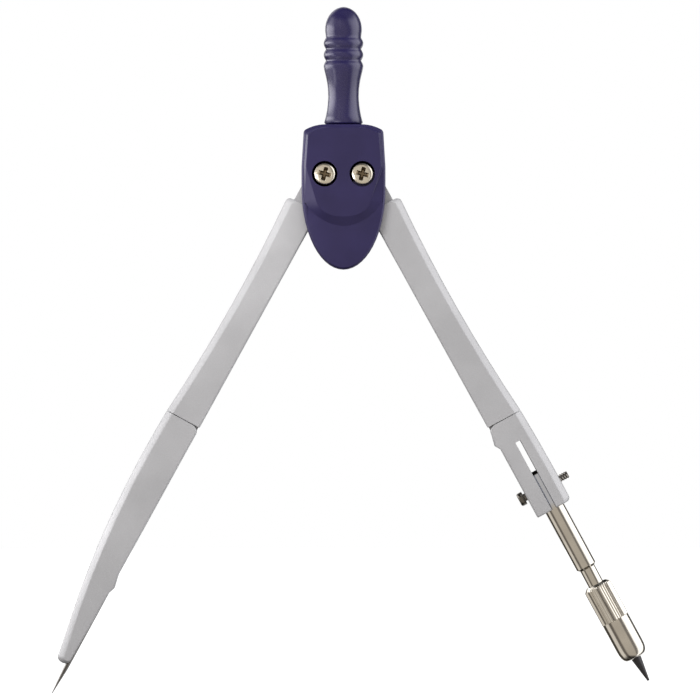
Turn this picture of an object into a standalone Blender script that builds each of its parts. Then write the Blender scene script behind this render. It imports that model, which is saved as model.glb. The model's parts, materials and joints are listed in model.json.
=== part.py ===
"""A drawing compass with a geared head, at real size: metres, +Z up.

The origin is the centre of the ringed grip, on the handle's axis. +X points to the lead leg, and -Y is
the front, where the screw heads show. Each leg is drawn in a plane of its own, where u runs down the leg
from its pivot and v runs outward, away from the other leg. The legs stand open, as when it draws.
"""
import math

import bmesh
import bpy
from mathutils import Matrix

MM = 0.001
DEGREE = math.pi / 180.0

# Fits
SEAT = 0.1 * MM
RUNNING = 0.25 * MM
OVERRUN = 1.5 * MM
ROUND_STEPS = 28
SMALL_ROUND_STEPS = 20
ARC_STEPS = 6
GROOVE_STEPS = 2
SMOOTH_ANGLE = 35.0 * DEGREE

# Pivots of the legs, and the angle at which each leg stands open
PIVOT_SPACING = 7.5 * MM
OPEN_ANGLE = 28.6 * DEGREE
SHANK_RADIUS = 1.25 * MM
SCREW_HEAD_RADIUS = 2.15 * MM
SCREW_HEAD_HEIGHT = 1.3 * MM
SCREW_HEAD_ROUND = 0.5 * MM
SCREW_HEAD_STEPS = 3
COUNTERBORE_DEPTH = 1.2 * MM
COUNTERBORE_GAP = 0.4 * MM
CROSS_ARM_HALF = 1.4 * MM
CROSS_SLOT_HALF = 0.42 * MM
CROSS_DEPTH = 0.8 * MM
CROSS_FLOOR_ARM_HALF = 0.7 * MM
CROSS_FLOOR_SLOT_HALF = 0.2 * MM
CROSS_TURN = 15.0 * DEGREE
NUT_HALF_FLATS = 2.25 * MM
NUT_THICKNESS = 1.3 * MM
NUT_RECESS = 0.1 * MM
PAD_GAP = 0.25 * MM
WASHER_THICKNESS = 0.4 * MM
TONGUE_HALF = 1.5 * MM

# Toothed sectors at the tops of the legs
TOOTH_COUNT = 12
PRESSURE_ANGLE = 25.0 * DEGREE
ADDENDUM_SHARE = 0.8
DEDENDUM_SHARE = 1.05
BACKLASH = 0.18 * MM
FLANK_STEPS = 5
SECTOR_TEETH = 4
SECTOR_BLANK_RISE = 0.25 * MM

# Head: heights are from the line of the two pivots
HEAD_TOP = 9.9 * MM
HEAD_FLAT_HALF = 3.6 * MM
HEAD_SHOULDER_ANGLE = 28.0 * DEGREE
HEAD_CORNER_REACH = 0.57 * MM
HEAD_CORNER_DROP = 0.85 * MM
HEAD_SIDE_TAPER = 0.4 * MM
HEAD_WIDEST_HEIGHT = 1.4 * MM
LOBE_START_DROP = 3.0 * MM
LOBE_LENGTH = 16.0 * MM
LOBE_STEPS = 14
COVER_THICKNESS = 1.45 * MM
FRONT_EDGE = 0.35 * MM
BACK_EDGE = 0.8 * MM
WALL = 0.8 * MM
TOP_WALL = 1.6 * MM
WALL_END_HEIGHT = 1.8 * MM
LOCATING_BOSS_RADIUS = 1.0 * MM
LOCATING_PEG_RADIUS = 0.5 * MM
LOCATING_PEG_LENGTH = 0.9 * MM
LOCATING_BOSS_INSET = 2.4 * MM
LOCATING_BOSS_DROP = 3.9 * MM

# Raised shield on the front cover
SHIELD_RISE = 0.8 * MM
SHIELD_TOP_FACET = 0.3 * MM
SHIELD_SIDE_FACET = 0.55 * MM
SHIELD_FACE_CORNER_INSET = 2.77 * MM
SHIELD_FACE_CORNER_DROP = 4.9 * MM
SHIELD_FACE_DROP = 8.5 * MM
SHIELD_FACE_BEND_SHARES = ((0.875, 0.75), (0.5, 1.0))
SHIELD_BASE_CORNER_INSET = 0.62 * MM
SHIELD_BASE_CORNER_DROP = 5.3 * MM
SHIELD_BASE_DROP = 10.4 * MM
SHIELD_BASE_BEND_SHARES = ((0.93, 0.37), (0.46, 1.0))

# Handle: a foot held in the head, a waisted body, rings and a dome
FOOT_RADIUS = 3.4 * MM
FOOT_THICKNESS = 2.0 * MM
FOOT_SHELF_HALF = 3.0 * MM
FOOT_SHELF_THICKNESS = 0.8 * MM
FOOT_SHELF_REACH = 1.9 * MM
NECK_RADIUS = 2.2 * MM
BASE_RADIUS = 3.88 * MM
BASE_ROUND = 0.35 * MM
WAIST_RADIUS = 3.06 * MM
WAIST_ABOVE_HEAD = 5.8 * MM
BODY_SHOULDER_RADIUS = 3.8 * MM
BODY_SHOULDER_DROP = 1.4 * MM
GRIP_ABOVE_PIVOTS = 23.9 * MM
RING_RADIUS = 3.97 * MM
RING_GROOVE_RADIUS = 3.52 * MM
RING_PITCH = 2.3 * MM
RING_STEPS = 8
DOME_ABOVE_RING = 2.8 * MM
DOME_RADIUS = 3.68 * MM
DOME_HEIGHT = 4.5 * MM
DOME_TUCK = 14.0 * DEGREE
DOME_STEPS = 10
DOME_FLAT_RADIUS = 0.3 * MM

# Upper legs
LEG_HALF_DEPTH = 2.7 * MM
SHOULDER_DISTANCE = 7.4 * MM
SHOULDER_INNER = 2.5 * MM
SHOULDER_OUTER = 4.35 * MM
UPPER_LEG_FIRST_GUIDE = 3.45 * MM
UPPER_LEG_SECOND_GUIDE = 3.75 * MM
UPPER_LEG_STEPS = 8
SHOULDER_ROUND = 1.1 * MM
TONGUE_INNER = 2.3 * MM
TONGUE_OUTER = 2.95 * MM
TONGUE_OVERLAP = 3.0 * MM
KNEE_DISTANCE = 56.5 * MM
KNEE_GAP = 0.12 * MM
KNEE_RADIUS = 1.45 * MM
LUG_HALF = 0.9 * MM
LUG_RADIUS = 1.25 * MM
LUG_OVERLAP = 2.0 * MM
KNEE_PIN_RADIUS = 0.7 * MM
KNEE_PIN_COVER = 0.7 * MM
OUTER_EDGE_ROUND = 1.5 * MM
OUTER_EDGE_FLATNESS = 1.6
EDGE_ROUND_STEPS = 4
INNER_EDGE_CHAMFER = 0.22 * MM

# Needle leg: lengths follow each other down from the knee
NEEDLE_KNEE_INNER = 2.25 * MM
NEEDLE_KNEE_OUTER = 5.1 * MM
NEEDLE_THICK_LENGTH = 29.7 * MM
NEEDLE_THIN_LENGTH = 13.6 * MM
NEEDLE_FIRST_GUIDE = 5.75 * MM
NEEDLE_SECOND_GUIDE = 5.0 * MM
NEEDLE_CURVE_OUTER = 2.6 * MM
NEEDLE_CURVE_STEPS = 11
NEEDLE_POINTED_LENGTH = 9.6 * MM
NEEDLE_END_OUTER = 0.86 * MM
NEEDLE_END_INNER = 1.9 * MM
NEEDLE_END_ROUND = 1.4 * MM
NEEDLE_END_DEPTH_SHARE = 0.62
NEEDLE_END_INSET_SHARE = 0.6
NEEDLE_LUG_BELOW_THICK = 3.8 * MM
NEEDLE_LUG_RAMP = 2.8 * MM
NEEDLE_LUG_STEP = 1.3 * MM
NEEDLE_LUG_START_INNER = 2.1 * MM
NEEDLE_LUG_INNER = 2.68 * MM
NEEDLE_LUG_END_INNER = 2.2 * MM
NEEDLE_GROOVE_ABOVE_STEP = 0.8 * MM
NEEDLE_RADIUS = 0.45 * MM
NEEDLE_AXIS_INNER = 1.77 * MM
NEEDLE_LENGTH = 25.0 * MM
NEEDLE_STANDS_OUT = 6.4 * MM
NEEDLE_CONE_LENGTH = 5.6 * MM
NEEDLE_POINT_RADIUS = 0.08 * MM

# Lead leg
LEAD_KNEE_INNER = 2.2 * MM
LEAD_KNEE_OUTER = 5.2 * MM
LEAD_LEG_LENGTH = 20.5 * MM
LEAD_END_INNER = 2.05 * MM
LEAD_GUIDE_OUTER = 5.66 * MM
LEAD_END_OUTER = 5.5 * MM
LEAD_END_ROUND = 1.0 * MM
LEAD_LUG_RAMP = 2.35 * MM
LEAD_LUG_STEP = 1.15 * MM
LEAD_LUG_INNER = 2.76 * MM
HOLDER_AXIS_OUTER = 1.83 * MM
HOLDER_FIT = 0.1 * MM
SLOT_AXIS_OUTER = 1.7 * MM
SLOT_LENGTH = 15.3 * MM
SLOT_HALF = 0.55 * MM
CLAMP_ABOVE_END = 4.6 * MM
CLAMP_SCREW_RADIUS = 0.8 * MM
CLAMP_BORE_WALL = 0.3 * MM
CLAMP_EAR_HALF = 1.6 * MM
CLAMP_EAR_WALL = 0.6 * MM
CLAMP_HEAD_RADIUS = 1.4 * MM
CLAMP_HEAD_THICKNESS = 1.2 * MM
CLAMP_HEAD_STAND = 0.4 * MM
CLAMP_SCREW_STAND = 2.0 * MM
CLAMP_SLOT_HALF = 0.2 * MM
CLAMP_SLOT_DEPTH = 0.5 * MM

# Lead holder: lengths follow each other down from the lead leg's end
STEM_RADIUS = 2.1 * MM
STEM_INSERTED = 8.5 * MM
STEM_STANDS_OUT = 13.7 * MM
STEM_CHAMFER = 0.45 * MM
HOLDER_NECK_RADIUS = 1.6 * MM
HOLDER_NECK_SHOWN = 3.6 * MM
STEM_THREAD_RADIUS = 1.85 * MM
STEM_THREAD_INSIDE = 0.8 * MM
SLEEVE_MOUTH_RADIUS = 2.25 * MM
SLEEVE_RIM_LENGTH = 0.4 * MM
SLEEVE_RIM_RADIUS = 2.65 * MM
KNURL_LENGTH = 8.0 * MM
KNURL_RADIUS = 2.87 * MM
KNURL_DEPTH = 0.2 * MM
KNURL_RUNOUT = 0.08 * MM
KNURL_RIDGES = 36
SLEEVE_RADIUS = 2.87 * MM
SLEEVE_LENGTH = 16.7 * MM
SLEEVE_ROUND_LENGTH = 2.7 * MM
SLEEVE_NOSE_RADIUS = 1.5 * MM
SLEEVE_NOSE_WALL = 0.6 * MM
SLEEVE_THREAD_FIT = 0.2 * MM
COLLET_BELOW_STEM = 0.4 * MM
COLLET_RADIUS = 1.8 * MM
COLLET_LENGTH = 9.1 * MM
COLLET_CONE_LENGTH = 4.4 * MM
COLLET_END_RADIUS = 1.36 * MM
COLLET_SLIT_HALF = 0.15 * MM
COLLET_RING_LENGTH = 1.8 * MM
LEAD_RADIUS = 1.0 * MM
LEAD_FIT = 0.12 * MM
LEAD_LENGTH = 15.95 * MM
LEAD_STANDS_OUT = 5.25 * MM
LEAD_CONE_LENGTH = 5.0 * MM
LEAD_POINT_RADIUS = 0.22 * MM
LEAD_SLIDE_ROOM = 4.9 * MM

# Colours
INDIGO = (0.042, 0.036, 0.085, 1.0)
SILVER = (0.46, 0.46, 0.48, 1.0)
NICKEL = (0.55, 0.51, 0.45, 1.0)
SCREW_GOLD = (0.72, 0.64, 0.50, 1.0)
STEEL_DARK = (0.10, 0.10, 0.10, 1.0)
GRAPHITE = (0.045, 0.045, 0.05, 1.0)
WASHER_GREY = (0.30, 0.30, 0.30, 1.0)

# Places that follow from the sizes above
SIDES = {"left": -1, "right": 1}
KNEE_INNER = {"left": NEEDLE_KNEE_INNER, "right": LEAD_KNEE_INNER}
KNEE_OUTER = {"left": NEEDLE_KNEE_OUTER, "right": LEAD_KNEE_OUTER}
PIVOT_HALF = PIVOT_SPACING / 2
PIVOT_HOLE_RADIUS = SHANK_RADIUS + SEAT
SECTOR_BLANK_RADIUS = PIVOT_HALF + SECTOR_BLANK_RISE
PAD_RADIUS = PIVOT_HALF - PAD_GAP
WASHER_INNER = TONGUE_HALF + SEAT
PAD_FACE = WASHER_INNER + WASHER_THICKNESS + SEAT
CAVITY_HALF = LEG_HALF_DEPTH + RUNNING
COVER_HALF = CAVITY_HALF + COVER_THICKNESS
SHIELD_FRONT = COVER_HALF + SHIELD_RISE
BLANK_AT_WALL_END = math.sqrt(SECTOR_BLANK_RADIUS**2 - WALL_END_HEIGHT**2)
HEAD_HALF_WIDTH = PIVOT_HALF + BLANK_AT_WALL_END + RUNNING + WALL
HEAD_CORNER_HALF = HEAD_HALF_WIDTH - HEAD_SIDE_TAPER
HEAD_SHOULDER_RUN = HEAD_CORNER_HALF - HEAD_CORNER_REACH - HEAD_FLAT_HALF
HEAD_SHOULDER_RADIUS = HEAD_SHOULDER_RUN / math.sin(HEAD_SHOULDER_ANGLE)
LOCATING_X = HEAD_CORNER_HALF - LOCATING_BOSS_INSET
LOCATING_Z = HEAD_TOP - LOCATING_BOSS_DROP
FOOT_TOP = HEAD_TOP - TOP_WALL - SEAT
FOOT_BOTTOM = FOOT_TOP - FOOT_THICKNESS
UPPER_LEG_END = KNEE_DISTANCE - KNEE_GAP / 2
LOWER_LEG_START = KNEE_DISTANCE + KNEE_GAP / 2
KNEE_PIVOT_DISTANCE = LOWER_LEG_START + KNEE_RADIUS
FORK_HALF = LUG_HALF + SEAT
FORK_END = KNEE_PIVOT_DISTANCE + LUG_RADIUS + RUNNING
NEEDLE_THICK_END = KNEE_DISTANCE + NEEDLE_THICK_LENGTH
NEEDLE_CURVE_END = NEEDLE_THICK_END + NEEDLE_THIN_LENGTH
NEEDLE_POINTED_END = NEEDLE_CURVE_END + NEEDLE_POINTED_LENGTH
NEEDLE_LEG_END = NEEDLE_POINTED_END + NEEDLE_END_ROUND
NEEDLE_LUG_START = NEEDLE_THICK_END + NEEDLE_LUG_BELOW_THICK
NEEDLE_LUG_PEAK = NEEDLE_LUG_START + NEEDLE_LUG_RAMP
NEEDLE_LUG_END = NEEDLE_LUG_PEAK + NEEDLE_LUG_STEP
NEEDLE_TIP = NEEDLE_LEG_END + NEEDLE_STANDS_OUT
NEEDLE_TOP = NEEDLE_TIP - NEEDLE_LENGTH
LEAD_LEG_END = KNEE_DISTANCE + LEAD_LEG_LENGTH
LEAD_LUG_PEAK = KNEE_PIVOT_DISTANCE + LEAD_LUG_RAMP
LEAD_LUG_END = LEAD_LUG_PEAK + LEAD_LUG_STEP
SLOT_TOP = LEAD_LEG_END - SLOT_LENGTH
HOLDER_BORE_RADIUS = STEM_RADIUS + HOLDER_FIT
CLAMP_DISTANCE = LEAD_LEG_END - CLAMP_ABOVE_END
CLAMP_HOLE_RADIUS = CLAMP_SCREW_RADIUS + SEAT
CLAMP_DEPTH = HOLDER_BORE_RADIUS + CLAMP_BORE_WALL + CLAMP_HOLE_RADIUS
CLAMP_EAR_DEPTH = CLAMP_DEPTH + CLAMP_HOLE_RADIUS + CLAMP_EAR_WALL
STEM_TOP = LEAD_LEG_END - STEM_INSERTED
STEM_TUBE_END = LEAD_LEG_END + STEM_STANDS_OUT
SLEEVE_TOP = STEM_TUBE_END + HOLDER_NECK_SHOWN
SLEEVE_NOSE = SLEEVE_TOP + SLEEVE_LENGTH
KNURL_END = SLEEVE_TOP + KNURL_LENGTH
SLEEVE_ROUND_START = SLEEVE_NOSE - SLEEVE_ROUND_LENGTH
SLEEVE_BORE_RADIUS = STEM_THREAD_RADIUS + SLEEVE_THREAD_FIT
STEM_THREAD_START = SLEEVE_TOP + STEM_THREAD_INSIDE
COLLET_END = SLEEVE_NOSE - SLEEVE_NOSE_WALL - SEAT
COLLET_TOP = COLLET_END - COLLET_LENGTH
STEM_THREAD_END = COLLET_TOP - COLLET_BELOW_STEM
COLLET_CONE_START = COLLET_END - COLLET_CONE_LENGTH
LEAD_BORE_RADIUS = LEAD_RADIUS + LEAD_FIT
LEAD_TIP = SLEEVE_NOSE + LEAD_STANDS_OUT
LEAD_TOP = LEAD_TIP - LEAD_LENGTH


def clear_scene():
    for item in list(bpy.data.objects):
        bpy.data.objects.remove(item, do_unlink=True)


def make_material(name, colour, roughness, metallic):
    material = bpy.data.materials.new(name)
    material.use_nodes = True
    shader = material.node_tree.nodes["Principled BSDF"]
    shader.inputs["Base Color"].default_value = colour
    shader.inputs["Roughness"].default_value = roughness
    shader.inputs["Metallic"].default_value = metallic
    material.diffuse_color = colour
    return material


def link(name, bm, parent):
    bmesh.ops.recalc_face_normals(bm, faces=bm.faces)
    mesh = bpy.data.meshes.new(name)
    bm.to_mesh(mesh)
    bm.free()
    item = bpy.data.objects.new(name, mesh)
    item.parent = parent
    bpy.context.scene.collection.objects.link(item)
    return item


def add_piece(name, bm, material, parent):
    item = link(name, bm, parent)
    item.data.materials.append(material)
    item.data.shade_smooth()
    item.data.set_sharp_from_angle(angle=SMOOTH_ANGLE)
    return item


def combine(item, bm, operation):
    """Cuts a helper solid from a piece, or joins it on; the helper itself isn't a piece."""
    helper = link(item.name + "_" + operation.lower(), bm, item.parent)
    helper.hide_render = True
    helper.display_type = "WIRE"
    modifier = item.modifiers.new(operation.title(), "BOOLEAN")
    modifier.operation = operation
    modifier.solver = "EXACT"
    modifier.object = helper


def cut(item, *solids):
    for bm in solids:
        combine(item, bm, "DIFFERENCE")


def join(item, *solids):
    for bm in solids:
        combine(item, bm, "UNION")


def loft(sections):
    """A closed solid through outlines of (x, z) points, each in its own plane across Y."""
    bm = bmesh.new()
    rings = [[bm.verts.new((x, y, z)) for x, z in outline] for outline, y in sections]
    bm.faces.new(rings[0])
    bm.faces.new(rings[-1][::-1])
    count = len(rings[0])
    for near, far in zip(rings, rings[1:]):
        for i in range(count):
            j = (i + 1) % count
            bm.faces.new((near[i], near[j], far[j], far[i]))
    return bm


def prism(outline, near_y, far_y):
    return loft([(outline, near_y), (outline, far_y)])


def block(x0, x1, y0, y1, z0, z1):
    return prism([(x0, z0), (x1, z0), (x1, z1), (x0, z1)], y0, y1)


def turned(profile, place=Matrix(), steps=ROUND_STEPS, loop=False):
    """A solid of revolution from (radius, height) points; a looped profile makes a ring.

    A third value in a point is the depth of the grooves that run along the solid there.
    """
    bm = bmesh.new()
    rings = []
    for radius, height, *groove in profile:
        ring = []
        for k in range(steps):
            angle = 2 * math.pi * k / steps
            deep = groove and k % GROOVE_STEPS == 0
            reach = radius - groove[0] if deep else radius
            ring.append(bm.verts.new((reach * math.cos(angle), reach * math.sin(angle), height)))
        rings.append(ring)
    pairs = list(zip(rings, rings[1:]))
    if loop:
        pairs.append((rings[-1], rings[0]))
    else:
        bm.faces.new(rings[0])
        bm.faces.new(rings[-1][::-1])
    for near, far in pairs:
        for i in range(steps):
            j = (i + 1) % steps
            bm.faces.new((near[i], near[j], far[j], far[i]))
    return moved(bm, place)


def moved(bm, place):
    bmesh.ops.transform(bm, matrix=place, verts=bm.verts)
    return bm


def rod(radius, start, end, place=Matrix(), steps=SMALL_ROUND_STEPS):
    return turned([(radius, start), (radius, end)], place, steps)


def across(x=0.0, z=0.0):
    """A turned solid's heights run along +Y, the depth of the compass, through (x, z)."""
    return Matrix.Translation((x, 0.0, z)) @ Matrix.Rotation(-math.pi / 2, 4, "X")


def bend(start, corner, end, steps=ARC_STEPS):
    """Points of a round corner from start to end, which leans on the corner point."""
    points = []
    for k in range(steps + 1):
        t = k / steps
        weights = ((1 - t) ** 2, 2 * t * (1 - t), t**2)
        points.append(blend((start, corner, end), weights))
    return points


def smooth_bend(start, first, second, end, steps):
    """Points along a cubic curve with two guide points, without its start."""
    points = []
    for k in range(1, steps + 1):
        t = k / steps
        weights = ((1 - t) ** 3, 3 * t * (1 - t) ** 2, 3 * t**2 * (1 - t), t**3)
        points.append(blend((start, first, second, end), weights))
    return points


def blend(points, weights):
    return tuple(sum(w * p[i] for w, p in zip(weights, points)) for i in range(2))


def arc(centre, radius, start, end, steps=ARC_STEPS):
    """Points of a round stretch in (u, v), by angles from +u towards +v."""
    angles = [start + (end - start) * k / steps for k in range(steps + 1)]
    return [(centre[0] + radius * math.cos(a), centre[1] + radius * math.sin(a)) for a in angles]


def mirrored(half):
    """Closes a right half outline, drawn from top to bottom, with its left half."""
    return half + [(-x, z) for x, z in reversed(half) if x > 0]


def outer_curve(start, first_guide, second_guide, end, steps):
    """A leg's outer edge in (u, v): its two guide points lie a third and two thirds of the way down."""
    third = (end[0] - start[0]) / 3
    first = (start[0] + third, first_guide)
    second = (end[0] - third, second_guide)
    return smooth_bend(start, first, second, end, steps)


def head_upper_half(top_inset, side_inset):
    """The right half outline from the flat top down to where the head is widest."""
    top = HEAD_TOP - top_inset
    flat = HEAD_FLAT_HALF - side_inset
    radius = HEAD_SHOULDER_RADIUS
    angles = [HEAD_SHOULDER_ANGLE * k / ARC_STEPS for k in range(ARC_STEPS + 1)]
    points = [(flat + radius * math.sin(a), top - radius * (1 - math.cos(a))) for a in angles]
    start = points.pop()
    end = (start[0] + HEAD_CORNER_REACH, start[1] - HEAD_CORNER_DROP)
    corner = (end[0], start[1] - HEAD_CORNER_REACH * math.tan(HEAD_SHOULDER_ANGLE))
    points += bend(start, corner, end)
    points.append((HEAD_HALF_WIDTH - side_inset, HEAD_WIDEST_HEIGHT))
    return points


def head_outline(inset=0.0):
    points = head_upper_half(inset, inset)
    for k in range(LOBE_STEPS):
        angle = math.pi / 2 * k / LOBE_STEPS
        half = (HEAD_HALF_WIDTH - inset) * math.cos(angle)
        points.append((half, -LOBE_START_DROP - (LOBE_LENGTH - inset) * math.sin(angle)))
    points.append((0.0, -LOBE_START_DROP - LOBE_LENGTH + inset))
    return mirrored(points)


def shield_outline(top_inset, side_inset, corner_inset, corner_drop, drop, bend_shares):
    points = head_upper_half(top_inset, side_inset)
    half = HEAD_HALF_WIDTH - corner_inset
    corner = (half, -corner_drop)
    first, second = [(half * x, -corner_drop - (drop - corner_drop) * z) for x, z in bend_shares]
    points.append(corner)
    points += smooth_bend(corner, first, second, (0.0, -drop), LOBE_STEPS)
    points[-1] = (0.0, -drop)
    return mirrored(points)


def cavity_outline():
    """The room for the legs: walled at the top and the sides, open below the walls' ends."""
    wide = HEAD_HALF_WIDTH + OVERRUN
    half = [
        (HEAD_CORNER_HALF - WALL, HEAD_TOP - TOP_WALL),
        (HEAD_HALF_WIDTH - WALL, WALL_END_HEIGHT),
        (wide, WALL_END_HEIGHT),
        (wide, -LOBE_START_DROP - LOBE_LENGTH - OVERRUN),
    ]
    return mirrored(half)


def shape_cover_inside(cover, side):
    """What both covers have inside; side is -1 for the front cover and 1 for the back."""
    floor = side * CAVITY_HALF
    root = floor + side * SEAT
    cut(cover, prism(cavity_outline(), floor, -side * OVERRUN))
    shelf_top = FOOT_BOTTOM - SEAT
    shelf_width = (-FOOT_SHELF_HALF, FOOT_SHELF_HALF)
    shelf_depth = (side * (CAVITY_HALF - FOOT_SHELF_REACH), root)
    join(cover, block(*shelf_width, *shelf_depth, shelf_top - FOOT_SHELF_THICKNESS, shelf_top))
    for sign in SIDES.values():
        pivot = across(sign * PIVOT_HALF)
        boss = across(sign * LOCATING_X, LOCATING_Z)
        join(cover, rod(PAD_RADIUS, side * PAD_FACE, root, pivot, ROUND_STEPS))
        join(cover, rod(LOCATING_BOSS_RADIUS, side * SEAT / 2, root, boss))
        cut(cover, rod(PIVOT_HOLE_RADIUS, 0.0, side * (SHIELD_FRONT + OVERRUN), pivot))
    cut(cover, rod(NECK_RADIUS + SEAT, FOOT_TOP - SEAT, HEAD_TOP + OVERRUN, steps=ROUND_STEPS))


def make_front_cover(material, parent):
    """The raised shield has sloping facets all round, wide at the sides and below."""
    rim = FRONT_EDGE + SEAT
    base_corner = (SHIELD_BASE_CORNER_INSET, SHIELD_BASE_CORNER_DROP, SHIELD_BASE_DROP)
    face_corner = (SHIELD_FACE_CORNER_INSET, SHIELD_FACE_CORNER_DROP, SHIELD_FACE_DROP)
    shield_base = shield_outline(rim, rim, *base_corner, SHIELD_BASE_BEND_SHARES)
    face_rim = (FRONT_EDGE + SHIELD_TOP_FACET, FRONT_EDGE + SHIELD_SIDE_FACET)
    shield_face = shield_outline(*face_rim, *face_corner, SHIELD_FACE_BEND_SHARES)
    sections = [
        (head_outline(), -SEAT / 2),
        (head_outline(), FRONT_EDGE - COVER_HALF),
        (head_outline(FRONT_EDGE), -COVER_HALF),
        (shield_base, -COVER_HALF),
        (shield_face, -SHIELD_FRONT),
    ]
    cover = add_piece("head_front_cover", loft(sections), material, parent)
    shape_cover_inside(cover, -1)
    counterbore = SCREW_HEAD_RADIUS + COUNTERBORE_GAP
    floor = COUNTERBORE_DEPTH - SHIELD_FRONT
    for sign in SIDES.values():
        pivot = across(sign * PIVOT_HALF)
        boss = across(sign * LOCATING_X, LOCATING_Z)
        cut(cover, rod(counterbore, floor, -SHIELD_FRONT - OVERRUN, pivot, ROUND_STEPS))
        join(cover, rod(LOCATING_PEG_RADIUS, LOCATING_PEG_LENGTH, -SEAT, boss))


def hexagon(half_flats, x):
    radius = half_flats / math.cos(math.pi / 6)
    angles = [math.pi / 3 * k for k in range(6)]
    return [(x + radius * math.cos(a), radius * math.sin(a)) for a in angles]


def make_back_cover(material, parent):
    sections = [
        (head_outline(), SEAT / 2),
        (head_outline(), COVER_HALF - BACK_EDGE),
        (head_outline(BACK_EDGE), COVER_HALF),
    ]
    cover = add_piece("head_back_cover", loft(sections), material, parent)
    shape_cover_inside(cover, 1)
    floor = COVER_HALF - NUT_RECESS - NUT_THICKNESS - SEAT
    for sign in SIDES.values():
        boss = across(sign * LOCATING_X, LOCATING_Z)
        pocket = hexagon(NUT_HALF_FLATS + SEAT, sign * PIVOT_HALF)
        cut(cover, prism(pocket, floor, COVER_HALF + OVERRUN))
        cut(cover, rod(LOCATING_PEG_RADIUS + SEAT, -OVERRUN, LOCATING_PEG_LENGTH + RUNNING, boss))


def ring_profile():
    """The grip's broad rings and sharp grooves, from the lowest crest to the groove under the dome."""
    rise = RING_RADIUS - RING_GROOVE_RADIUS
    points = []
    for k in range(2 * RING_STEPS + RING_STEPS // 2 + 1):
        turn = k / RING_STEPS
        radius = RING_GROOVE_RADIUS + rise * abs(math.cos(math.pi * turn))
        points.append((radius, GRIP_ABOVE_PIVOTS + RING_PITCH * (turn - 1)))
    return points


def dome_profile(base):
    """A tall dome that is widest at its base and tucks in a little below it."""
    points = []
    for k in range(DOME_STEPS):
        angle = (math.pi / 2 + DOME_TUCK) * k / DOME_STEPS - DOME_TUCK
        points.append((DOME_RADIUS * math.cos(angle), base + DOME_HEIGHT * math.sin(angle)))
    return points + [(DOME_FLAT_RADIUS, base + DOME_HEIGHT)]


def make_handle(material, parent):
    """The foot has two flats, so the grip can't spin between the covers."""
    base = HEAD_TOP + SEAT
    rings = ring_profile()
    waist = (WAIST_RADIUS, HEAD_TOP + WAIST_ABOVE_HEAD)
    foot = [(FOOT_RADIUS, FOOT_BOTTOM), (FOOT_RADIUS, FOOT_TOP), (NECK_RADIUS, FOOT_TOP)]
    flare = [(NECK_RADIUS, base), (BASE_RADIUS - BASE_ROUND, base), (BASE_RADIUS, base + BASE_ROUND)]
    low_guide = (WAIST_RADIUS, (base + waist[1]) / 2)
    high_guide = (WAIST_RADIUS, (waist[1] + rings[0][1]) / 2)
    shoulder = (BODY_SHOULDER_RADIUS, rings[0][1] - BODY_SHOULDER_DROP)
    profile = foot + flare
    profile += smooth_bend(flare[-1], low_guide, waist, waist, ARC_STEPS)
    profile += smooth_bend(waist, high_guide, shoulder, rings[0], ARC_STEPS)
    profile += rings[1:]
    profile += dome_profile(GRIP_ABOVE_PIVOTS + RING_PITCH + DOME_ABOVE_RING)
    handle = add_piece("handle_grip", turned(profile), material, parent)
    wide = FOOT_RADIUS + OVERRUN
    for side in (-1, 1):
        flat = side * (CAVITY_HALF - SEAT)
        cut(handle, block(-wide, wide, flat, side * wide, FOOT_BOTTOM - OVERRUN, FOOT_TOP + SEAT / 2))


def cross_arm(top):
    """One arm of a cross recess, which narrows from the head's top down to the recess's floor."""
    sections = []
    for depth in (-OVERRUN, CROSS_DEPTH):
        share = depth / CROSS_DEPTH
        long = CROSS_ARM_HALF + (CROSS_FLOOR_ARM_HALF - CROSS_ARM_HALF) * share
        wide = CROSS_SLOT_HALF + (CROSS_FLOOR_SLOT_HALF - CROSS_SLOT_HALF) * share
        sections.append(([(-long, -wide), (long, -wide), (long, wide), (-long, wide)], top + depth))
    return loft(sections)


def make_pivot_screw(name, x, material, parent):
    seat = COUNTERBORE_DEPTH - SHIELD_FRONT - SEAT
    top = seat - SCREW_HEAD_HEIGHT
    rounding = bend(
        (SCREW_HEAD_RADIUS, top + SCREW_HEAD_ROUND),
        (SCREW_HEAD_RADIUS, top),
        (SCREW_HEAD_RADIUS - 2 * SCREW_HEAD_ROUND, top),
        SCREW_HEAD_STEPS,
    )
    shank = [(SHANK_RADIUS, COVER_HALF - NUT_RECESS), (SHANK_RADIUS, seat), (SCREW_HEAD_RADIUS, seat)]
    screw = add_piece(name, turned(shank + rounding, across(x)), material, parent)
    for k in range(2):
        turn = Matrix.Rotation(CROSS_TURN + k * math.pi / 2, 4, "Y")
        cut(screw, moved(cross_arm(top), Matrix.Translation((x, 0.0, 0.0)) @ turn))


def make_pivot_nut(name, x, material, parent):
    end = COVER_HALF - NUT_RECESS
    nut = add_piece(name, prism(hexagon(NUT_HALF_FLATS, x), end - NUT_THICKNESS, end), material, parent)
    cut(nut, rod(PIVOT_HOLE_RADIUS, 0.0, end + OVERRUN, across(x)))


def make_washer(name, x, side, material, parent):
    inner = side * WASHER_INNER
    outer = side * (WASHER_INNER + WASHER_THICKNESS)
    bore = PIVOT_HOLE_RADIUS
    profile = [(bore, inner), (PAD_RADIUS, inner), (PAD_RADIUS, outer), (bore, outer)]
    add_piece(name, turned(profile, across(x), SMALL_ROUND_STEPS, loop=True), material, parent)


def make_head(materials, root):
    make_handle(materials["indigo"], root)
    make_front_cover(materials["indigo"], root)
    make_back_cover(materials["indigo"], root)
    for name, sign in SIDES.items():
        x = sign * PIVOT_HALF
        make_pivot_screw("pivot_screw_" + name, x, materials["gold"], root)
        make_pivot_nut("pivot_nut_" + name, x, materials["gold"], root)
        for face, side in (("front", -1), ("back", 1)):
            make_washer(f"washer_{name}_{face}", x, side, materials["washer"], root)


def involute(angle):
    return math.tan(angle) - angle


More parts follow.
